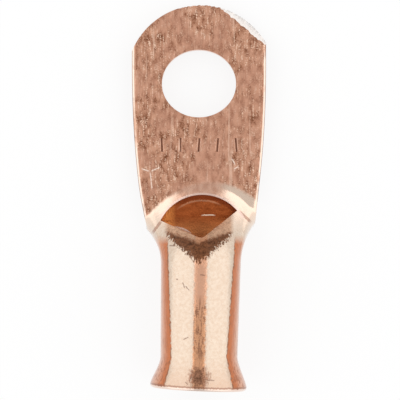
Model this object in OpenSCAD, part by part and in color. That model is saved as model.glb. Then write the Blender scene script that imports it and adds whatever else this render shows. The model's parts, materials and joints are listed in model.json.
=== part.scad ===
// Copper cable lug, pressed from one length of seamless tube. One end is flattened and coined into a
// palm with a stud hole, the other stays round for the cable and is belled at its mouth. The slanted
// neck between them is slit open, so that the end of the conductor can be seen.
// X runs across the palm, Y along the lug towards the palm's end, and Z away from the contact face.
// The origin is the centre of the stud hole on the contact face.

/* [Palm] */
// Width of the palm beside the stud hole
palm_w = 18.8; // [17:0.1:22]
// Thickness of the coined palm
palm_t = 2.2; // [1.8:0.1:2.6]
// How far the coining left the palm's edges round, from 1 for a half-round fold down to nearly square
edge_round = 0.4; // [0.3:0.05:1]
// Width of the palm where its folds meet the barrel
neck_w = 15.2; // [14:0.1:16.6]
// Distance from the stud hole to the palm's trimmed end
end_reach = 11; // [10:0.1:14]
// Radius of the arc that the end is trimmed to
end_r = 10.5; // [9.8:0.1:14]
// How far the shear that cut this arc sat off the palm's middle
shear_off = 0.3; // [0:0.1:0.6]
// Diameter of the stud hole
stud_d = 9.9; // [6.4:0.1:11]
// Width of the slanted face that the shear left on one shoulder
bevel_w = 1; // [0.4:0.1:1.4]
// Where that slanted face lies, as an angle round the end from the X axis
bevel_turn = 50; // [40:1:60]

/* [Neck] */
// Distance from the stud hole to where the crown starts to rise
rise_y = 14; // [13:0.1:15]
// Length of the rise along the crown, up to the round barrel
rise_len = 11.4; // [10:0.1:14]
// How much nearer to the barrel the folds and the back start to open than the crown does
fold_lag = 6; // [5:0.1:6.5]
// How far askew the press sat on the tube, in degrees
press_turn = 3; // [0:1:8]

/* [Neck opening] */
// Distance from the stud hole to the lip on the palm's side
mouth_y = 15.6; // [15.2:0.1:16.2]
// Width of the opening from tip to tip
mouth_w = 10.6; // [9:0.1:11]
// How far the lip on the palm's side bows up between the tips
lip_bow = 3.1; // [2.4:0.1:3.4]
// How far the lip on the barrel's side dips below the tips
lip_dip = 2.9; // [2:0.1:3.4]
// Rounding at the bottom of that dip
dip_r = 1.2; // [0.5:0.1:2]

/* [Barrel] */
// Outer diameter of the tube
barrel_d = 11.1; // [10.4:0.1:12]
// Outer diameter of the slightly drawn-in waist just before the bell
waist_d = 10.7; // [10.2:0.1:11]
// Wall of the tube
wall = 1.25; // [0.9:0.05:1.5]
// Distance from the stud hole to the open end of the barrel
barrel_end = 43; // [38:0.5:60]
// Diameter across the belled end
bell_d = 13.4; // [12.4:0.1:15]
// Length over which the tube widens into the bell
bell_len = 4; // [3:0.1:6]
// Length of the straight rim past the bell
rim_len = 0.5; // [0.2:0.1:1]

/* [Hidden] */

// Overlap of cuts past the faces that they open
over = 1;
// Gap left between the pressed layers, and between a faceted face and the true one that it meets
seam = 0.03;
barrel_r = barrel_d / 2;
bore_r = barrel_r - wall;
neck_end = rise_y + rise_len;
arc_y = end_reach - end_r;
bevel_depth = 0.8 * palm_t;
// Where the palm's sides start to draw in, measured like every distance below from the stud hole
// towards the barrel
taper_y = -3;
taper_power = 2.2;
fold_y = rise_y + fold_lag;
bell_y = barrel_end - rim_len - bell_len;
bell_steps = 10;

// Points round one section of the tube: steps on each half flat, and steps round each fold
flat_steps = 9;
fold_steps = 8;
ring_size = 4 * flat_steps + 2 * fold_steps;
palm_steps = 6;
rise_steps = 18;
rise_power = 2.3;
round_fn = 96;

function smooth(q) = q * q * (3 - 2 * q);
function within(q) = min(1, max(0, q));

// Half the palm's width at a distance d from the stud hole
function palm_half(d) =
    let (q = within((d - taper_y) / (fold_y - taper_y)))
    (palm_w - (palm_w - neck_w) * pow(q, taper_power)) / 2;

// Point i round a flat tube with a straight run of flat each side of its middle, t thick,
// with its middle at height mid: from the crown over +X to the back, and round again
function flat_point(i, flat, t, mid) =
    let (
        half = ring_size / 2,
        k = i % half,
        side = i < half ? 1 : -1,
        run = flat * min(k, flat_steps) / flat_steps,
        back_run = flat * max(0, k - flat_steps - fold_steps) / flat_steps,
        turn = 180 * within((k - flat_steps) / fold_steps),
        out = pow(sin(turn), edge_round),
        up = sign(cos(turn)) * pow(abs(cos(turn)), edge_round)
    )
    side * [run - back_run + t / 2 * out, t / 2 * up] + [0, mid];

// Angle from the crown at which point i lies once the same tube is round
neck_flat = (neck_w - palm_t) / 2;
neck_girth = 4 * neck_flat + PI * palm_t;
function round_angle(i) =
    let (
        half = ring_size / 2,
        k = i % half,
        flats = min(k, flat_steps) + max(0, k - flat_steps - fold_steps),
        folds = within((k - flat_steps) / fold_steps),
        along = neck_flat * flats / flat_steps + PI * palm_t / 2 * folds
    )
    360 * along / neck_girth + (i < half ? 0 : 180);

function round_point(i, r) = [r * sin(round_angle(i)), barrel_r + r * cos(round_angle(i))];

// How far point i has changed from flat to round at distance d. The crown swings up slowly. The
// folds start later and open at once, and the back stays flat until they do. An askew press moves
// one fold ahead. A lag makes the crown open later, and the folds and the back as much sooner.
function opened(i, d, lag) =
    let (
        from_crown = min(round_angle(i), 360 - round_angle(i)),
        fold = pow(within(from_crown / 90), 2),
        askew = tan(press_turn) * neck_w / 2 * sin(round_angle(i)),
        start = rise_y + fold_lag * fold + lag * (1 - 2 * fold) - askew,
        q = within((d - start) / (neck_end - start))
    )
    (1 - fold) * smooth(q) + fold * (1 - pow(1 - q, rise_power));

// Section of the tube at distance d, as points in space
function section(d, flat, t, r, lag) =
    [for (i = [0 : ring_size - 1])
        let (
            w = opened(i, d, lag),
            p = (1 - w) * flat_point(i, flat, t, palm_t / 2) + w * round_point(i, r)
        )
        [p[0], -d, p[1]]];

// Closed skin over a list of sections, with each end closed by a fan round its middle
module skin(sections) {
    last = len(sections) - 1;
    first_middle = len(sections) * ring_size;
    middles = [for (s = [sections[0], sections[last]]) (s[0] + s[ring_size / 2]) / 2];
    faces = [for (i = [0 : ring_size - 1])
        let (next = (i + 1) % ring_size)
        each concat(
            [[i, first_middle, next]],
            [for (k = [0 : last - 1])
                let (a = k * ring_size + i, b = k * ring_size + next)
                each [[a, b, b + ring_size], [a, b + ring_size, a + ring_size]]],
            [[last * ring_size + next, first_middle + 1, last * ring_size + i]]
        )];
    polyhedron(concat([for (s = sections) each s], middles), faces, convexity = 8);
}

// Tube pressed flat at the palm and opening into the barrel, still untrimmed and solid
module pressed_tube() {
    first = -(end_reach + over);
    palm_at = [for (k = [0 : palm_steps - 1]) taper_y + (rise_y - taper_y) * k / palm_steps];
    rise_at = [for (k = [0 : rise_steps]) rise_y + rise_len * k / rise_steps];
    skin([for (d = concat([first], palm_at, rise_at, [neck_end + over]))
        section(d, palm_half(d) - palm_t / 2, palm_t, barrel_r - seam, 0)]);
}

// Hollow that closes to a seam between the palm's two layers. It lags behind the outside where that
// swells, and leads it where that draws in, which keeps the wall whole on both slopes.
module neck_hollow() {
    first = rise_y + wall / 2;
    at = [for (k = [0 : rise_steps]) first + (neck_end - first) * k / rise_steps];
    skin([for (d = concat(at, [neck_end + 2 * over]))
        section(d, neck_flat, seam, bore_r - seam, wall / 2)]);
}

// Solid of revolution round the barrel's axis, from a profile of [radius, distance] points
module round_barrel(profile) {
    translate([0, 0, barrel_r])
        rotate([90, 0, 0])
            rotate_extrude($fn = round_fn)
                polygon(profile);
}

// Curve of the bell, widening from radius r to rim_r
function bell_curve(r, rim_r) =
    [for (k = [0 : bell_steps])
        [r + (rim_r - r) * smooth(k / bell_steps), bell_y + bell_len * k / bell_steps]];

module barrel_outside() {
    round_barrel(concat(
        [[0, neck_end + over / 2], [barrel_r, neck_end + over / 2]],
        bell_curve(waist_d / 2, bell_d / 2),
        [[bell_d / 2, barrel_end], [0, barrel_end]]
    ));
}

module barrel_bore() {
    round_barrel(concat(
        [[0, neck_end + over], [bore_r, neck_end + over]],
        bell_curve(bore_r, bell_d / 2 - wall),
        [[bell_d / 2 - wall, barrel_end + over], [0, barrel_end + over]]
    ));
}

// Everything past the arc at the palm's end
module end_trim() {
    translate([shear_off, arc_y, -over])
        difference() {
            translate([-palm_w, 0, 0])
                cube([2 * palm_w, end_r + 2 * over, palm_t + 2 * over]);
            translate([0, 0, -over])
                cylinder(h = palm_t + 4 * over, r = end_r, $fn = round_fn);
        }
}

// Slanted face on one shoulder: it starts bevel_w inside the arc and runs out at the contact face
module shoulder_bevel() {
    translate([shear_off, arc_y, palm_t])
        rotate([90, 0, bevel_turn])
            translate([end_r - bevel_w, 0, -palm_w])
                linear_extrude(height = 2 * palm_w)
                    polygon([[0, 0], [bevel_w, -bevel_depth], [bevel_w + over, -bevel_depth],
                        [bevel_w + over, over], [0, over]]);
}

// Outline of the neck's opening: an arc on the palm's side and a rounded V on the barrel's side
module mouth_outline() {
    half = mouth_w / 2;
    arch_r = (half * half + lip_bow * lip_bow) / (2 * lip_bow);
    tip_y = mouth_y + lip_bow;
    slope = atan2(lip_dip, half);
    dip_y = tip_y + lip_dip - dip_r / cos(slope);
    touch = dip_r * [sin(slope), -cos(slope)];
    intersection() {
        translate([0, -mouth_y - arch_r])
            circle(r = arch_r, $fn = round_fn);
        union() {
            translate([0, -dip_y])
                circle(r = dip_r, $fn = round_fn);
            polygon([
                [-half, -tip_y], [-touch[0], touch[1] - dip_y], [touch[0], touch[1] - dip_y],
                [half, -tip_y], [half, -mouth_y + over], [-half, -mouth_y + over]
            ]);
        }
    }
}

module neck_mouth() {
    middle = mouth_y + (lip_bow + lip_dip) / 2;
    translate([0, -middle, max(wall, palm_t / 2 + seam)])
        rotate(press_turn)
            linear_extrude(height = barrel_d)
                translate([0, middle])
                    mouth_outline();
}

module lug() {
    color("#c98a6b")
        difference() {
            union() {
                pressed_tube();
                barrel_outside();
            }
            end_trim();
            shoulder_bevel();
            translate([0, 0, -over])
                cylinder(h = palm_t + 2 * over, d = stud_d, $fn = round_fn);
            neck_hollow();
            barrel_bore();
            neck_mouth();
        }
}

lug();
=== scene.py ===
import json
import math
import random

import bmesh
import bpy
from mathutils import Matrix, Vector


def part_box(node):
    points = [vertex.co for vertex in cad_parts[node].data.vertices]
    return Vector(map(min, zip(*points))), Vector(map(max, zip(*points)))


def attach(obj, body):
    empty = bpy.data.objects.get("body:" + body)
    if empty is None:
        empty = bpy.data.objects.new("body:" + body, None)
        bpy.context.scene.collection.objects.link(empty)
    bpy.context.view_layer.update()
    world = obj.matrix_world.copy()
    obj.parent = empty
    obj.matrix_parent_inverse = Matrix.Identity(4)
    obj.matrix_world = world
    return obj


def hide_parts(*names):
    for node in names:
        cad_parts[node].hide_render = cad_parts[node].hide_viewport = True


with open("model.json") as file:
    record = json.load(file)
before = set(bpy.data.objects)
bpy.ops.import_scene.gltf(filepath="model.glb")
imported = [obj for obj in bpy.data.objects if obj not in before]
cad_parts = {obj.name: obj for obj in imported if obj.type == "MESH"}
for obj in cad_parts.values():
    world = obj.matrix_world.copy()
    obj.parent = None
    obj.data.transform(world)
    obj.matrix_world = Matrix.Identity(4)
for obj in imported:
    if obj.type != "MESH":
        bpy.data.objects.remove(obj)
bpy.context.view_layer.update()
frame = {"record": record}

# ---- Camera ----
# A long lens straight above the lug, far enough off that its sides hardly show. The palm's end is
# at the top of the frame.
camera_height = 0.450
camera_side = 0.00014
camera_along = -0.0163
camera = bpy.data.objects.new("camera", bpy.data.cameras.new("camera"))
camera.data.lens = 288
camera.data.sensor_width = 36
camera.data.clip_start = 0.01
camera.location = (camera_side, camera_along, camera_height)
bpy.context.scene.collection.objects.link(camera)
bpy.context.scene.camera = camera

# ---- The lug: pressed tube ----
# One length of seamless copper tube. One end is pressed flat and coined into a palm with a stud
# hole, the other is belled for the cable, and the slanted neck between them is slit open.
low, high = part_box("lug")
mounts = {mount["name"]: mount for mount in frame["record"]["mounts"]}
palm_width = high[0] - low[0]
palm_end = high[1]
barrel_end = -low[1]
axis_height = (low[2] + high[2]) / 2
barrel_radius = axis_height
bell_radius = (high[2] - low[2]) / 2
stud_radius = mounts["stud_hole"]["dims"]["r_mm"] / 1000
palm_thick = mounts["stud_hole"]["dims"]["length_mm"] / 1000
bore_radius = mounts["cable_bore"]["dims"]["r_mm"] / 1000
wall = barrel_radius - bore_radius

neck_width = 0.0152
taper_start = -0.003
taper_power = 2.2
rise_start = 0.014
neck_end = rise_start + 0.0114
fold_lag = 0.006
fold_power = 2.3
edge_round = 0.4
press_turn = math.radians(3)
waist_radius = 0.00535
bell_length = 0.004
rim_length = 0.0005
rim_fall = 0.00025
rim_slant = math.tan(math.radians(2.5))
rim_short = 0.0005
rim_end = barrel_end - rim_short
bell_start = rim_end - rim_length - bell_length
sway, sway_at, sway_fall = 0.00028, 0.024, 0.02
past_end = 0.001
neck_flat = (neck_width - palm_thick) / 2


class Term:
    """One socket of a node tree, which adds its Math nodes as it is used in an expression."""

    def __init__(self, tree, socket=None):
        self.tree, self.socket = tree, socket

    def node(self, kind, settings=None, sockets=None, out=0):
        """Adds a node: its settings first, then the values or links of its sockets."""
        made = self.tree.nodes.new(kind)
        for name, value in (settings or {}).items():
            setattr(made, name, value)
        for key, value in (sockets or {}).items():
            if isinstance(value, Term):
                self.tree.links.new(value.socket, made.inputs[key])
            else:
                made.inputs[key].default_value = value
        return Term(self.tree, made.outputs[out])

    def math(self, operation, *others):
        terms = dict(enumerate((self, *others)))
        return self.node("ShaderNodeMath", {"operation": operation}, terms)

    def swapped(self, operation, other):
        return self.node("ShaderNodeMath", {"operation": operation}, {0: other, 1: self})

    def clamped(self):
        return self.node("ShaderNodeClamp", {}, {"Value": self})

    def __add__(self, other):
        return self.math("ADD", other)

    def __sub__(self, other):
        return self.math("SUBTRACT", other)

    def __rsub__(self, other):
        return self.swapped("SUBTRACT", other)

    def __mul__(self, other):
        return self.math("MULTIPLY", other)

    def __truediv__(self, other):
        return self.math("DIVIDE", other)

    def __pow__(self, other):
        return self.math("POWER", other)

    def __gt__(self, other):
        return self.math("GREATER_THAN", other)

    __radd__ = __add__
    __rmul__ = __mul__


def smooth(part):
    """Eased step of a term that runs from 0 to 1."""
    return part * part * (3 - part * 2)


# The skin is a grid wrapped round the tube. Each point moves from its place on the flat palm to
# its place on the round barrel: the crown swings up slowly, the folds follow late and at once,
# and the back stays flat until they do.
def tube_tree():
    tree = bpy.data.node_groups.new("pressed_tube", "GeometryNodeTree")
    tree.interface.new_socket("Tube", in_out="OUTPUT", socket_type="NodeSocketGeometry")
    lengths = ("Thickness", "Radius", "Waist radius", "Bell radius", "Lag", "First", "Last")
    for name in (*lengths, "Rim slant", "Rim fall"):
        tree.interface.new_socket(name, in_out="INPUT", socket_type="NodeSocketFloat")
    for name in ("Steps round", "Steps along"):
        tree.interface.new_socket(name, in_out="INPUT", socket_type="NodeSocketInt")
    tree.interface.new_socket("Finish", in_out="INPUT", socket_type="NodeSocketMaterial")
    given = tree.nodes.new("NodeGroupInput")
    size = {s.name: Term(tree, s) for s in given.outputs if s.name}
    start = Term(tree)

    steps = size["Steps along"]
    grid = start.node(
        "GeometryNodeMeshGrid",
        {},
        {"Size X": 1.0, "Size Y": 1.0, "Vertices X": size["Steps round"], "Vertices Y": steps},
    )
    place = start.node("GeometryNodeInputPosition")
    across = start.node("ShaderNodeSeparateXYZ", {}, {0: place}, 0)
    length = start.node("ShaderNodeSeparateXYZ", {}, {0: place}, 1)
    row = ((length + 0.5) * (steps - 1)).math("ROUND")
    open_row = row.math("MAXIMUM", 1).math("MINIMUM", steps - 2)
    closing = length.math("ABSOLUTE") > 0.5 - 1e-5
    first = size["First"]
    distance = first + (open_row - 1) / (steps - 3) * (size["Last"] - first)

    girth = 4 * neck_flat + math.pi * palm_thick
    half_girth = girth / 2
    fold_run = math.pi * palm_thick / 2
    along = (across + 0.5) * girth
    far_side = along > half_girth * (1 - 1e-6)
    side = 1 - far_side * 2
    run = along - far_side * half_girth
    out_part = (run / neck_flat).clamped()
    turn = ((run - neck_flat) / fold_run).clamped() * math.pi
    back_part = ((run - neck_flat - fold_run) / neck_flat).clamped()
    angle = along / girth * (2 * math.pi)

    taper = ((distance - taper_start) / (rise_start + fold_lag - taper_start)).clamped()
    flat = (palm_width - taper**taper_power * (palm_width - neck_width)) / 2 - palm_thick / 2
    thick = size["Thickness"]
    level = turn.math("COSINE")
    out = turn.math("SINE").math("MAXIMUM", 0) ** edge_round
    up = level.math("SIGN") * level.math("ABSOLUTE") ** edge_round
    flat_x = side * (flat * (out_part - back_part) + thick / 2 * out)
    flat_z = side * thick / 2 * up + palm_thick / 2

    drawn_in = ((distance - neck_end) / (bell_start - neck_end)).clamped()
    flare = ((distance - bell_start) / bell_length).clamped()
    belled = (smooth(flare) + flare**1.5) / 2
    radius = size["Radius"] + (size["Waist radius"] - size["Radius"]) * drawn_in
    radius = radius + (size["Bell radius"] - size["Waist radius"]) * belled
    lip = ((distance - (rim_end - rim_length)) / rim_length).clamped()
    radius = radius - size["Rim fall"] * (1 - (1 - lip * lip).math("SQRT"))
    round_x = radius * angle.math("SINE")
    round_z = radius * angle.math("COSINE") + axis_height

    from_crown = angle.math("MINIMUM", 2 * math.pi - angle) / (math.pi / 2)
    fold = from_crown.clamped() ** 2
    askew = angle.math("SINE") * (math.tan(press_turn) * neck_width / 2)
    begin = rise_start + fold * fold_lag + size["Lag"] * (1 - fold * 2) - askew
    opening = ((distance - begin) / (neck_end - begin)).clamped()
    opened = (1 - fold) * smooth(opening) + fold * (1 - (1 - opening) ** fold_power)

    open_part = 1 - closing
    middle = palm_thick / 2 + (axis_height - palm_thick / 2) * (distance > neck_end)
    swayed = smooth(((distance - rise_start) / (sway_at - rise_start)).clamped())
    aside = swayed * (sway + (sway_at - distance) * sway_fall)
    x = (flat_x + (round_x - flat_x) * opened) * open_part + aside
    z = (flat_z + (round_z - flat_z) * opened) * open_part + middle * closing
    slanted = distance + x * size["Rim slant"] * belled
    point = start.node("ShaderNodeCombineXYZ", {}, {0: x, 1: 0 - slanted, 2: z})
    shaped = start.node("GeometryNodeSetPosition", {}, {"Geometry": grid, "Position": point})
    merged = start.node("GeometryNodeMergeByDistance", {}, {"Geometry": shaped, "Distance": 1e-7})
    outward = start.node("GeometryNodeFlipFaces", {}, {"Mesh": merged})
    real = start.node("GeometryNodeRealizeInstances", {}, {"Geometry": outward})
    coated = {"Geometry": real, "Material": size["Finish"]}
    done = start.node("GeometryNodeSetMaterial", {}, coated)
    result = tree.nodes.new("NodeGroupOutput")
    tree.links.new(done.socket, result.inputs[0])
    return tree


def made_by_nodes(name, tree, sizes):
    """Plain mesh object from a tree, with the tree's inputs set by their names."""
    maker = bpy.data.objects.new(name + "_maker", bpy.data.meshes.new(name + "_maker"))
    bpy.context.scene.collection.objects.link(maker)
    modifier = maker.modifiers.new(name, "NODES")
    modifier.node_group = tree
    for item in tree.interface.items_tree:
        if item.in_out == "INPUT":
            modifier[item.identifier] = sizes[item.name]
    return finished(name, maker)


def finished(name, maker):
    """Plain mesh object of what an object's modifiers make, in place of that object."""
    seen = maker.evaluated_get(bpy.context.evaluated_depsgraph_get())
    piece = bpy.data.objects.new(name, bpy.data.meshes.new_from_object(seen))
    bpy.context.scene.collection.objects.link(piece)
    bpy.data.objects.remove(maker)
    return piece


def prism(name, outline, bottom, top, finish):
    """Closed prism over an outline of (x, y) points that runs anticlockwise."""
    shape = bmesh.new()
    lower = [shape.verts.new((x, y, bottom)) for x, y in outline]
    upper = [shape.verts.new((x, y, top)) for x, y in outline]
    shape.faces.new(lower[::-1])
    shape.faces.new(upper)
    for k in range(len(outline)):
        after = (k + 1) % len(outline)
        shape.faces.new((lower[k], lower[after], upper[after], upper[k]))
    mesh = bpy.data.meshes.new(name)
    shape.to_mesh(mesh)
    shape.free()
    mesh.materials.append(finish)
    piece = bpy.data.objects.new(name, mesh)
    bpy.context.scene.collection.objects.link(piece)
    return piece


def arc(centre, radius, begin, end, steps):
    """Points on an arc, from one angle in degrees to the other, with a radius for each axis."""
    (x, y), (wide, long) = centre, radius
    turns = [math.radians(begin + (end - begin) * k / steps) for k in range(steps + 1)]
    return [(x + wide * math.cos(turn), y + long * math.sin(turn)) for turn in turns]


# ---- The lug: bare copper ----
# The metal is left bare, under a thin clear film. The coined palm is matte, speckled and scored
# along the draw. The barrel keeps the smoother skin of the drawn tube, pale on top as a painted
# highlight and deeper in colour on its flanks as painted shade. The neck has a painted dark
# reflection in a V below the slit, and the inside is dark.
def mixed_colour(part, first, second):
    """Colour that runs from the first to the second as part runs from 0 to 1."""
    colours = [c if isinstance(c, Term) else (*c, 1) for c in (first, second)]
    settings = {"data_type": "RGBA"}
    return part.node("ShaderNodeMix", settings, {0: part, 6: colours[0], 7: colours[1]}, 2)


def ramp(term, low_end, high_end):
    """Runs from 0 to 1 while the term runs from the low end to the high end."""
    return ((term - low_end) / (high_end - low_end)).clamped()


def noise(place, feature, detail=2.0, stretch=(1, 1, 1)):
    """Noise with features of about the given size in metres, drawn out by the stretch."""
    scale = tuple(1 / (feature * part) for part in stretch)
    spread = place.node("ShaderNodeMapping", {}, {"Vector": place, "Scale": scale})
    return place.node("ShaderNodeTexNoise", {}, {"Vector": spread, "Scale": 1.0, "Detail": detail})


def spoke(across, along, reach, streak, coarse):
    """Mask of a ragged round spot that fades outwards in spokes."""
    away = (across * across + along * along).math("SQRT") / reach
    return ramp(1.25 - away + (streak - 0.5) * 1.6 + (coarse - 0.5) * 1.2, 0.0, 0.6)


def short_stroke(across, down, mark, grain, breadth=1):
    """Mask of a short stroke, used for scratches, for crease lines of painted shade and for a
    painted glint: its middle across and down the lug, its length and its lean.
    """
    x, y, length, lean = *mark[:3], math.radians(mark[3])
    run = (across - x) * math.cos(lean) + (down - y) * math.sin(lean)
    off = (down - y) * math.cos(lean) - (across - x) * math.sin(lean)
    thin = ramp(0.00011 * breadth - off.math("ABSOLUTE") + (grain - 0.5) * 0.0002, 0.0, 0.00006)
    return thin * ramp(length / 2 - run.math("ABSOLUTE"), 0.0, length / 6)


def stroked(tone, marks, colour, strength, across, down, grain, breadth=1):
    """A colour with short strokes over it, each with its middle across and down, length and lean.
    """
    for mark in marks:
        part = short_stroke(across, down, mark, grain, breadth) * strength
        tone = mixed_colour(part, tone, colour)
    return tone


def new_material(name):
    """Material without nodes, and a term that starts its tree."""
    material = bpy.data.materials.new(name)
    material.use_nodes = True
    material.node_tree.nodes.clear()
    return material, Term(material.node_tree)


def axes(place):
    """Distances across the lug, down it towards the bell, and above the contact face."""
    x, y, z = (place.node("ShaderNodeSeparateXYZ", {}, {0: place}, k) for k in range(3))
    return x, 0 - y, z


def metal(material, start, tone, rough, dents, depth, strength=0.6, film=0.0):
    """Ends a material as bare metal, with dents of the given depth, under a clear film."""
    sockets = {"Strength": strength, "Distance": depth, "Height": dents}
    bump = start.node("ShaderNodeBump", {}, sockets)
    sockets = {
        "Base Color": tone,
        "Roughness": rough,
        "Metallic": 1.0,
        "Normal": bump,
        "Coat Weight": film,
        "Coat Roughness": 0.12,
        "Coat IOR": 1.6,
    }
    shader = start.node("ShaderNodeBsdfPrincipled", {}, sockets)
    output = material.node_tree.nodes.new("ShaderNodeOutputMaterial")
    material.node_tree.links.new(shader.socket, output.inputs["Surface"])
    return material


# The slit's palm side is an arch, and its barrel side a V. Both are turned like the press.
mouth_start, mouth_width, lip_bow, lip_dip, dip_radius = 0.0156, 0.0108, 0.00287, 0.0032, 0.0010
mouth_turn = math.radians(7.3)
half_mouth = mouth_width / 2
arch_radius = (half_mouth**2 + lip_bow**2) / (2 * lip_bow)
tip_y = -(mouth_start + lip_bow)
middle_y = -(mouth_start + (lip_bow + lip_dip) / 2)
arch_below = arch_radius + mouth_start + middle_y
arch_x = arch_below * math.sin(mouth_turn)
arch_y = middle_y - arch_below * math.cos(mouth_turn)


def past_arch(across, down):
    """How far a point lies outside the slit's arch, and how far below that arch's centre."""
    slit_x, slit_y = across - arch_x, down + arch_y
    return (slit_x * slit_x + slit_y * slit_y).math("SQRT") - arch_radius, slit_y


def copper_skin(name):
    """Outside of the lug: coined palm, drawn skin, the marks of the press and of use, and painted
    highlights and shade.
    """
    material, start = new_material(name)
    place = start.node("ShaderNodeTexCoord", out="Object")
    across, down, height = axes(place)
    aside = across.math("ABSOLUTE")

    grain = noise(place, 0.00016, 2.0)
    coarse = noise(place, 0.00045, 3.0)
    streak = noise(place, 0.00022, 2.0, (1, 7, 1))
    draw = noise(place, 0.0005, 2.0, (1, 30, 1))
    cloud = noise(place, 0.0035, 3.0)
    mottle = noise(place, 0.0007, 3.0, (1, 2, 1))

    # The palm ends on the arched line where the crown starts to rise, askew like the press.
    arch_lift, arch_bow, arch_tilt = 0.0002, 60, 0.189
    arch = down - rise_start + arch_lift - across * across * arch_bow + across * arch_tilt
    barrel = smooth(ramp(arch + (coarse - 0.5) * 0.0006, -0.0002, 0.0006))
    palm = 1 - barrel

    # Coined face: mottled, with bright and dark specks that thin out where it is worn
    deep, light, worn_tone = (0.40, 0.180, 0.105), (0.64, 0.34, 0.225), (0.62, 0.33, 0.235)
    bright_speck, dark_speck = (0.92, 0.66, 0.50), (0.20, 0.075, 0.038)
    draw_line = (0.84, 0.56, 0.42)
    worn = ramp(cloud, 0.44, 0.60)
    palm_tone = mixed_colour(ramp(mottle, 0.36, 0.64), deep, light)
    palm_tone = mixed_colour(worn * 0.35, palm_tone, worn_tone)
    speckled = 1 - worn * 0.7
    bright = ramp(grain * 0.45 + streak * 0.55, 0.535, 0.64) * speckled
    palm_tone = mixed_colour(bright, palm_tone, bright_speck)
    dark = ramp(grain * 0.5 + mottle * 0.5, 0.46, 0.36) * speckled
    palm_tone = mixed_colour(dark, palm_tone, dark_speck)
    palm_tone = mixed_colour(ramp(draw, 0.62, 0.68) * 0.55, palm_tone, draw_line)

    # Scratches on the palm's lower corners, and painted shade deep in the bars' grooves between
    # painted highlights on their upper edges
    palm_scratches = (
        (-0.0075, 0.0121, 0.0012, 18),
        (-0.0061, 0.0120, 0.0015, -24),
        (-0.0067, 0.0136, 0.0026, 85),
        (0.0048, 0.0109, 0.0010, 60),
        (0.0052, 0.0118, 0.0008, -30),
    )
    fresh_copper, bar_edge_highlight, groove_shade = (0.98, 0.80, 0.68), (0.90, 0.66, 0.52), (0.26, 0.12, 0.08)
    palm_tone = stroked(palm_tone, palm_scratches, fresh_copper, 0.8, across, down, grain)
    struck_reach, struck_from, struck_to, fade = 0.0064, 0.0070, 0.0102, 0.0002
    struck = ramp(struck_reach - aside, 0, fade) * ramp(down, struck_from, struck_from + fade)
    struck = struck * ramp(struck_to - down, 0, fade)
    sunk = palm_thick - height
    # Painted highlight on the grooves' upper edges
    bar_highlight_part = struck * ramp(sunk, 0.00001, 0.00006) * 0.7
    palm_tone = mixed_colour(bar_highlight_part, palm_tone, bar_edge_highlight)
    # Painted shade deep in the grooves
    groove_shade_part = struck * ramp(sunk, 0.00014, 0.00022) * 0.75
    palm_tone = mixed_colour(groove_shade_part, palm_tone, groove_shade)

    # The palm's rounded edge has a painted highlight in patches, and its side has painted shade.
    round_edge_highlight_tone, palm_side_shade_tone = (0.93, 0.76, 0.64), (0.34, 0.17, 0.115)
    round_edge_highlight = ramp(palm_thick * 0.988 - height, 0, palm_thick * 0.02) * (1 - struck)
    palm_tone = mixed_colour(round_edge_highlight * ramp(cloud, 0.36, 0.5), palm_tone, round_edge_highlight_tone)
    palm_side_shade = ramp(palm_thick * 0.9 - height, 0, palm_thick * 0.03) * (1 - struck)
    palm_tone = mixed_colour(palm_side_shade, palm_tone, palm_side_shade_tone)

    # Drawn skin: pale on top as a painted highlight, deeper in grains and towards the bell, and
    # palest on the neck as a painted highlight
    pale_highlight_skin = mixed_colour(ramp(coarse, 0.35, 0.65), (0.66, 0.50, 0.375), (0.73, 0.59, 0.465))
    pale_highlight_skin = mixed_colour(ramp(grain, 0.60, 0.72) * 0.5, pale_highlight_skin, (0.60, 0.38, 0.25))
    pale_highlight_skin = mixed_colour(ramp(down, bell_start, rim_end) * 0.6, pale_highlight_skin, (0.62, 0.38, 0.25))
    pale_highlight_skin = mixed_colour(ramp(0.021 - down, 0, 0.003), pale_highlight_skin, (0.92, 0.70, 0.55))

    # A tarnished line runs along the crown, with dark marks in it. The line is also painted shade,
    # made wide enough to cover the unlit strip between the pale highlights.
    line_half, marks_from, marks_to = 0.0010, 0.0292, 0.0392
    middle = sway + (sway_at - down) * sway_fall
    crown = (across - middle + (coarse - 0.5) * 0.0006).math("ABSOLUTE")
    line = ramp(line_half - crown, 0.0, 0.0003)
    tarnish_and_shade = mixed_colour(ramp(down, 0.029, 0.033), (0.90, 0.47, 0.29), (0.86, 0.41, 0.205))
    marks = ramp(streak * 0.65 + grain * 0.35, 0.50, 0.56) * ramp(down, marks_from, 0.031)
    marks = marks * ramp(marks_to - down, 0, 0.002)
    tarnish_and_shade = mixed_colour(marks * 0.85, tarnish_and_shade, (0.34, 0.13, 0.055))
    skin = mixed_colour(line, pale_highlight_skin, tarnish_and_shade)
    foot_half, foot_end = 0.0046, 0.0205
    foot = smooth(ramp(foot_half - aside, 0, 0.0024)) * ramp(foot_end - down, 0, 0.001)
    foot_tone = mixed_colour(ramp(mottle, 0.4, 0.6), (0.66, 0.34, 0.22), (0.80, 0.46, 0.32))
    skin = mixed_colour(foot, skin, foot_tone)

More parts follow.
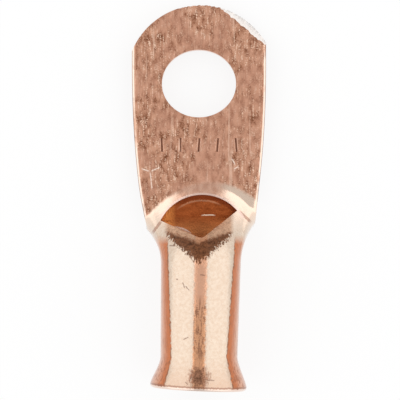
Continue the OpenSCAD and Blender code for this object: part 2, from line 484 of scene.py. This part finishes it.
    # The flanks are painted shade, a deep orange where the barrel turns away from the light, with
    # dark streaks, a ragged dark border of painted shade and paler edges.
    flank_edge, drawn_closer, flared = 0.0045, 0.0008, 0.0009
    edge = flank_edge - ramp(down, 0.0225, 0.038) * drawn_closer
    edge = edge + ramp(down, bell_start, rim_end - rim_length) * flared
    off_top = (across - middle).math("ABSOLUTE") - edge + (coarse - 0.5) * 0.0005
    on_neck = ramp(down, 0.0212, 0.0224)
    flank_shade = ramp(off_top, 0.0, 0.00015) * on_neck
    shade_orange, pale_edge = (0.58, 0.18, 0.065), (0.70, 0.36, 0.23)
    flank_shade_tone = mixed_colour(ramp(off_top, 0.0006, 0.0013), shade_orange, pale_edge)
    dirty = 0.5 + ramp(down, bell_start - 0.001, bell_start + 0.001) * 0.4
    flank_shade_tone = mixed_colour(ramp(streak, 0.48, 0.60) * dirty, flank_shade_tone, (0.40, 0.13, 0.05))
    shade_border = ramp(0.00018 - (off_top - 0.0001).math("ABSOLUTE"), 0.0, 0.0001)
    shade_border = shade_border * ramp(streak, 0.36, 0.50)
    flank_shade_tone = mixed_colour(shade_border * 0.85, flank_shade_tone, (0.24, 0.09, 0.04))
    under = ramp(0.0035 - height, 0.0, 0.001) * ramp(down, 0.020, 0.022)
    flank_shade_tone = mixed_colour(under, flank_shade_tone, (0.66, 0.33, 0.20))
    skin = mixed_colour((flank_shade + under).clamped(), skin, flank_shade_tone)

    # Creases run out from the tips of the slit to the knees, drawn as lines of painted shade.
    crease_shade_lines = ((-0.0059, 0.0201, 0.0024, -54), (0.0064, 0.0186, 0.0026, 43))
    skin = stroked(skin, crease_shade_lines, (0.36, 0.15, 0.08), 0.7, across, down, grain, 2)
    tone = mixed_colour(barrel, palm_tone, skin)

    # Painted highlight along the palm's side of the slit, on the edge of its lip
    past_lip, below_centre = past_arch(across, down)
    above = ramp(0 - below_centre, 0.001, 0.0014) * ramp(0.0190 - down, 0, 0.0004)
    lip_highlight = ramp(0.00022 - (past_lip - 0.0001).math("ABSOLUTE"), 0.0, 0.00008) * above
    tone = mixed_colour(lip_highlight * 0.8, tone, (0.93, 0.66, 0.56))

    # Painted dark reflection in a V below the slit, where the neck slopes up, with a ragged lower
    # edge and a duller painted band up to the lip
    dark_v_point, dark_v_half = 0.0253, 0.0049
    ragged = (streak - 0.5) * 0.003 + (coarse - 0.5) * 0.001
    below_lip = ramp(dark_v_point - aside * 0.85 - down + ragged, 0.0, 0.0005)
    below_lip = below_lip * ramp(dark_v_half - aside, 0.0, 0.0006)
    on_crown = ramp(height, barrel_radius * 0.6, barrel_radius * 0.7)
    below_lip = below_lip * on_crown * barrel
    from_band = down - 0.0220 + aside * 0.34 + (coarse - 0.5) * 0.0012
    dark_v_reflection = below_lip * ramp(from_band, 0.0, 0.0004)
    dull = ramp(grain * 0.5 + coarse * 0.5, 0.36, 0.60)
    band_tone = mixed_colour(dull, (0.24, 0.095, 0.035), (0.66, 0.34, 0.19))
    tone = mixed_colour(below_lip * 0.7, tone, band_tone)
    dark_v_tone = mixed_colour(dull, (0.05, 0.014, 0.005), (0.21, 0.075, 0.03))
    tone = mixed_colour(dark_v_reflection * 0.9, tone, dark_v_tone)

    # Star-shaped spot on the bell, and a few nicks along the barrel
    spot_at, spot_reach = 0.0406, 0.0014
    on_top = ramp(height, axis_height, bell_radius)
    spot = spoke(across, down - spot_at, spot_reach, streak, coarse) * on_top
    spot_tone = mixed_colour(dull, (0.09, 0.035, 0.02), (0.44, 0.21, 0.13))
    tone = mixed_colour(spot * 0.9, tone, spot_tone)
    nicks = (
        (-0.0021, 0.0280, 0.0010, 70),
        (-0.0016, 0.0284, 0.0009, 50),
        (-0.0030, 0.0272, 0.0003, 0),
        (-0.0018, 0.0353, 0.0009, -25),
        (0.0005, 0.0266, 0.0008, 5),
        (-0.0017, 0.0414, 0.0006, 45),
        (0.0016, 0.0410, 0.0012, 5),
        (-0.0037, 0.0226, 0.0010, 5),
    )
    tone = stroked(tone, nicks, (0.20, 0.09, 0.05), on_top * 0.7, across, down, grain)

    # The rim is scored round just before its lip.
    to_rim = rim_end - rim_length - down + across * rim_slant + (streak - 0.5) * 0.0003
    score = ramp(0.00016 - to_rim.math("ABSOLUTE"), 0.0, 0.0001)
    tone = mixed_colour(score * 0.75, tone, (0.30, 0.13, 0.08))
    lip = ramp(0 - to_rim, 0.00012, 0.0002)
    tone = mixed_colour(lip, tone, (0.86, 0.68, 0.58))

    rough = palm * (0.42 + (coarse - 0.5) * 0.3) + barrel * (0.22 + (coarse - 0.5) * 0.14)
    rough = rough + dark_v_reflection * 0.3
    dents = grain * (0.3 * palm + 0.08) + coarse * (0.5 * palm + 0.35)
    dents = dents + streak * (palm * 0.5 + dark_v_reflection)
    film = barrel * (1 - below_lip * 0.95) * (1 - flank_shade * 0.6) * (1 - spot * 0.9)
    return metal(material, start, tone, rough, dents, 0.00009, 0.7, film)


def bore_skin(name):
    """Inside of the tube as drawn, with painted shade under the slit's arch, a painted reflection
    at its left end, and painted highlights along the fold and as a glint.
    """
    material, start = new_material(name)
    place = start.node("ShaderNodeTexCoord", out="Object")
    across, down, _ = axes(place)
    grain = noise(place, 0.0002, 3.0)
    smear = noise(place, 0.0006, 3.0, (4, 1, 1))

    oxide, oxide_light = (0.28, 0.060, 0.014), (0.46, 0.115, 0.032)
    tone = mixed_colour(ramp(smear * 0.6 + grain * 0.4, 0.38, 0.62), oxide, oxide_light)
    tone = mixed_colour(ramp(down, 0.0185, 0.0205) * 0.7, tone, (0.46, 0.17, 0.06))
    # Painted reflection at the left end, in a saturated orange
    tone = mixed_colour(ramp(0 - across, 0.0032, 0.0044), tone, (0.86, 0.30, 0.08))
    past_lip, _ = past_arch(across, down)
    from_lip = (grain - 0.5) * 0.0002 - past_lip
    shade = ramp(0.0007 - from_lip, 0.0, 0.0002) * ramp(across, -0.0035, -0.002)
    tone = mixed_colour(shade * 0.6, tone, (0.20, 0.035, 0.012))
    # Painted highlight along the fold below the slit's lip
    fold = ramp(0.00016 - (from_lip - 0.0008).math("ABSOLUTE"), 0.0, 0.0001)
    fold = fold * ramp(0.0032 - across.math("ABSOLUTE"), 0, 0.001)
    tone = mixed_colour(fold * 0.3, tone, (0.85, 0.50, 0.32))
    glint_at, glint_bow = 0.0013, 60
    bowed = down - (across - glint_at) ** 2 * glint_bow
    glint = short_stroke(across, bowed, (glint_at, 0.0184, 0.0021, 0), grain) * 0.9
    tone = mixed_colour(glint, tone, (0.98, 0.74, 0.58))
    return metal(material, start, tone, 0.2 + grain * 0.2, grain + smear, 0.00006)


def plain_copper(name, dark, light, roughness):
    """Copper of one finish, such as a cut's, with fine grain."""
    material, start = new_material(name)
    place = start.node("ShaderNodeTexCoord", out="Object")
    grain = noise(place, 0.0002, 3.0)
    cloud = noise(place, 0.002, 2.0)
    tone = mixed_colour(ramp(grain * 0.7 + cloud * 0.3, 0.35, 0.65), dark, light)
    return metal(material, start, tone, roughness + (grain - 0.5) * 0.2, grain, 0.00006)


skin_copper = copper_skin("skin_copper")
bore_copper = bore_skin("bore_copper")
cut_copper = plain_copper("cut_copper", (0.62, 0.36, 0.27), (0.90, 0.64, 0.52), 0.36)
# The sheared facet at the palm's end is near white, as a painted highlight.
facet_highlight_copper = plain_copper("facet_highlight_copper", (0.90, 0.80, 0.74), (1.0, 0.97, 0.94), 0.3)

# ---- The lug: outside and hollow ----
# The outside runs from past the palm's end to the bell. The hollow closes to a seam in the palm,
# and runs out through the bell.
seam_gap = 0.00003
tube = tube_tree()
outside = made_by_nodes(
    "outside",
    tube,
    {
        "Thickness": palm_thick,
        "Radius": barrel_radius,
        "Waist radius": waist_radius,
        "Bell radius": bell_radius,
        "Lag": 0.0,
        "First": -(palm_end + past_end),
        "Last": rim_end,
        "Rim slant": rim_slant,
        "Rim fall": rim_fall,
        "Steps round": 201,
        "Steps along": 331,
        "Finish": skin_copper,
    },
)
hollow = made_by_nodes(
    "hollow",
    tube,
    {
        "Thickness": seam_gap,
        "Radius": bore_radius,
        "Waist radius": bore_radius,
        "Bell radius": bell_radius - wall,
        "Lag": wall / 2,
        "First": rise_start + wall / 2,
        "Last": barrel_end + past_end,
        "Rim slant": 0.0,
        "Rim fall": 0.0,
        "Steps round": 121,
        "Steps along": 121,
        "Finish": bore_copper,
    },
)

# ---- The lug: trimmed end, stud hole and mouth ----
# The end is sheared to an arc, the stud hole is punched, and the neck is slit open between an
# arch on the palm's side and a rounded V on the barrel's side.
end_radius = 0.0105
shear_off = 0.0003
arc_centre = (shear_off, palm_end - end_radius)
nick_depth, nick_middle, nick_reach = 0.012, 0.0002, 0.0034
random.seed(9)
trim_line = []
for x, y in arc((0, 0), (end_radius, end_radius), 0, 180, 160):
    tear = 1 - random.uniform(0, nick_depth) * (abs(x - nick_middle) < nick_reach)
    trim_line.append((x * tear + arc_centre[0], y * tear + arc_centre[1]))
trim_outline = [
    (palm_width, arc_centre[1]),
    (palm_width, palm_end + 2 * past_end),
    (-palm_width, palm_end + 2 * past_end),
    (-palm_width, arc_centre[1]),
    *trim_line[::-1],
]
trim = prism("trim", trim_outline, -past_end, palm_thick + past_end, cut_copper)

# The shear tore the facet's upper edge, so its line is uneven.
random.seed(4)
bevel_width, bevel_turn, bevel_depth = 0.001, math.radians(50), 0.8 * palm_thick
past_chord = 1.15
half_chord = math.sqrt(end_radius**2 - (end_radius - bevel_width) ** 2) * past_chord
outward = (math.cos(bevel_turn), math.sin(bevel_turn))
teeth, tear_in, tear_out, lesser_tear = 34, -0.00016, 0.00012, 0.3
shape = bmesh.new()
rows = []
for k in range(teeth + 1):
    across = half_chord * (2 * k / teeth - 1)
    tear = random.uniform(tear_in, tear_out) * (1 if k % 2 else lesser_tear)
    profile = [
        (end_radius - bevel_width + tear, palm_thick + past_end),
        (end_radius - bevel_width + tear, palm_thick),
        (end_radius + tear / 3, palm_thick - bevel_depth),
        (end_radius + past_end, palm_thick - bevel_depth),
        (end_radius + past_end, palm_thick + past_end),
    ]
    row = []
    for reach, height in profile:
        x = arc_centre[0] + reach * outward[0] - across * outward[1]
        y = arc_centre[1] + reach * outward[1] + across * outward[0]
        row.append(shape.verts.new((x, y, height)))
    rows.append(row)
for before, after in zip(rows, rows[1:]):
    for k in range(len(before)):
        later = (k + 1) % len(before)
        shape.faces.new((before[k], after[k], after[later], before[later]))
shape.faces.new(rows[0])
shape.faces.new(rows[-1][::-1])
bmesh.ops.recalc_face_normals(shape, faces=shape.faces)
facet_mesh = bpy.data.meshes.new("facet")
shape.to_mesh(facet_mesh)
shape.free()
facet_mesh.materials.append(facet_highlight_copper)
facet = bpy.data.objects.new("facet", facet_mesh)
bpy.context.scene.collection.objects.link(facet)

hole_wide, hole_short = 1.05, 0.955
hole_radii = (stud_radius * hole_wide, stud_radius * hole_short)
hole_line = arc((0, 0), hole_radii, 0, 360, 96)[:-1]
hole = prism("hole", hole_line, -past_end, palm_thick + past_end, cut_copper)

arch_half = math.degrees(math.asin(half_mouth / arch_radius))
slope = math.degrees(math.atan2(lip_dip, half_mouth))
dip_y = tip_y - lip_dip + dip_radius / math.cos(math.radians(slope))
slit_centre = (0, -mouth_start - arch_radius)
arch = arc(slit_centre, (arch_radius, arch_radius), 90 - arch_half, 90 + arch_half, 40)
dip = arc((0, dip_y), (dip_radius, dip_radius), 270 - slope, 270 + slope, 14)
mouth_line = [
    (
        x * math.cos(mouth_turn) - (y - middle_y) * math.sin(mouth_turn),
        x * math.sin(mouth_turn) + (y - middle_y) * math.cos(mouth_turn) + middle_y,
    )
    for x, y in [*arch, *dip]
]
mouth = prism("mouth", mouth_line, wall, 2 * barrel_radius, cut_copper)


# Plain stamped bars stand across the palm below the stud hole, as a mark without any lettering.
def bar_tree():
    tree = bpy.data.node_groups.new("stamped_bars", "GeometryNodeTree")
    tree.interface.new_socket("Bars", in_out="OUTPUT", socket_type="NodeSocketGeometry")
    for name in ("Width", "Length", "Spread", "Along", "Lean"):
        tree.interface.new_socket(name, in_out="INPUT", socket_type="NodeSocketFloat")
    tree.interface.new_socket("Count", in_out="INPUT", socket_type="NodeSocketInt")
    tree.interface.new_socket("Finish", in_out="INPUT", socket_type="NodeSocketMaterial")
    given = tree.nodes.new("NodeGroupInput")
    size = {s.name: Term(tree, s) for s in given.outputs if s.name}
    start = Term(tree)
    half, along, lean = size["Spread"] / 2, size["Along"], size["Lean"]
    left = start.node("ShaderNodeCombineXYZ", {}, {0: 0 - half, 1: along, 2: palm_thick})
    right = start.node("ShaderNodeCombineXYZ", {}, {0: half, 1: along, 2: palm_thick})
    line = start.node(
        "GeometryNodeMeshLine",
        {"mode": "END_POINTS"},
        {"Count": size["Count"], "Start Location": left, "Offset": right},
    )
    thick = size["Width"] / math.sqrt(2)
    block = start.node("ShaderNodeCombineXYZ", {}, {0: thick, 1: size["Length"], 2: thick})
    bar = start.node("GeometryNodeMeshCube", {}, {"Size": block})
    bars = start.node("GeometryNodeInstanceOnPoints", {}, {"Points": line, "Instance": bar})
    turn = start.node("FunctionNodeRandomValue", {}, {2: 0 - lean, 3: lean, "Seed": 7}, 1)
    turns = start.node("ShaderNodeCombineXYZ", {}, {1: math.pi / 4, 2: turn})
    turned = start.node("GeometryNodeRotateInstances", {}, {"Instances": bars, "Rotation": turns})
    real = start.node("GeometryNodeRealizeInstances", {}, {"Geometry": turned})
    done = start.node("GeometryNodeSetMaterial", {}, {"Geometry": real, "Material": size["Finish"]})
    result = tree.nodes.new("NodeGroupOutput")
    tree.links.new(done.socket, result.inputs[0])
    return tree


bars = made_by_nodes(
    "size_bars",
    bar_tree(),
    {
        "Width": 0.0006,
        "Length": 0.0019,
        "Spread": 0.0104,
        "Along": -0.0086,
        "Lean": math.radians(5),
        "Count": 5,
        "Finish": skin_copper,
    },
)

for cutter in (hollow, trim, facet, hole, mouth, bars):
    cut = outside.modifiers.new(cutter.name, "BOOLEAN")
    cut.operation, cut.solver, cut.material_mode = "DIFFERENCE", "EXACT", "TRANSFER"
    cut.object = cutter
edge_rounding, edge_angle, sharp_angle = 0.00012, math.radians(40), math.radians(35)
rounding = outside.modifiers.new("rounding", "BEVEL")
rounding.width, rounding.segments = edge_rounding, 2
rounding.limit_method, rounding.angle_limit = "ANGLE", edge_angle
lug = finished("lug_copper", outside)
for cutter in (hollow, trim, facet, hole, mouth, bars):
    bpy.data.objects.remove(cutter)
lug.data.shade_smooth()
lug.data.set_sharp_from_angle(angle=sharp_angle)
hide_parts("lug")
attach(lug, "root")

# ---- Floor and light ----
# A white sheet under the lug, two soft boxes along its sides and an even white surround.
sheet_half, sheet_thick, sheet_shown = 2, 0.01, 0.85
sheet, start = new_material("white_sheet")
rays = {
    name: start.node("ShaderNodeLightPath", out="Is " + name + " Ray")
    for name in ("Camera", "Glossy", "Transmission")
}
shown = (rays["Camera"] * sheet_shown + rays["Glossy"] + rays["Transmission"]).clamped()
matte_sheet = start.node("ShaderNodeBsdfDiffuse", {}, {"Color": (0.9, 0.9, 0.9, 1)})
white_sheet = start.node("ShaderNodeEmission", {}, {"Color": (1, 1, 1, 1), "Strength": 1.0})
mixed = start.node("ShaderNodeMixShader", {}, {0: shown, 1: matte_sheet, 2: white_sheet})
sheet.node_tree.links.new(
    mixed.socket, sheet.node_tree.nodes.new("ShaderNodeOutputMaterial").inputs["Surface"]
)
corners = [(x * sheet_half, y * sheet_half) for x, y in ((-1, -1), (1, -1), (1, 1), (-1, 1))]
floor = prism("floor", corners, low[2] - sheet_thick, low[2], sheet)

box_wide, box_long, box_away, box_lean = 0.74, 2.0, 0.5, math.radians(53)
box_watts, surround_level = 3.2, 0.65
for side in (-1, 1):
    light = bpy.data.lights.new("soft_box", "AREA")
    light.shape, light.size, light.size_y = "RECTANGLE", box_wide, box_long
    light.energy = box_watts
    box = bpy.data.objects.new("soft_box", light)
    bpy.context.scene.collection.objects.link(box)
    aside, above = box_away * math.sin(box_lean), box_away * math.cos(box_lean)
    box.location = (side * aside, camera_along, above)
    box.rotation_euler = (0, side * box_lean, 0)

world = bpy.data.worlds.new("surround")
bpy.context.scene.world = world
world.use_nodes = True
background = world.node_tree.nodes["Background"]
background.inputs["Color"].default_value = (1, 1, 1, 1)
background.inputs["Strength"].default_value = surround_level
bpy.context.scene.view_settings.view_transform = "Standard"
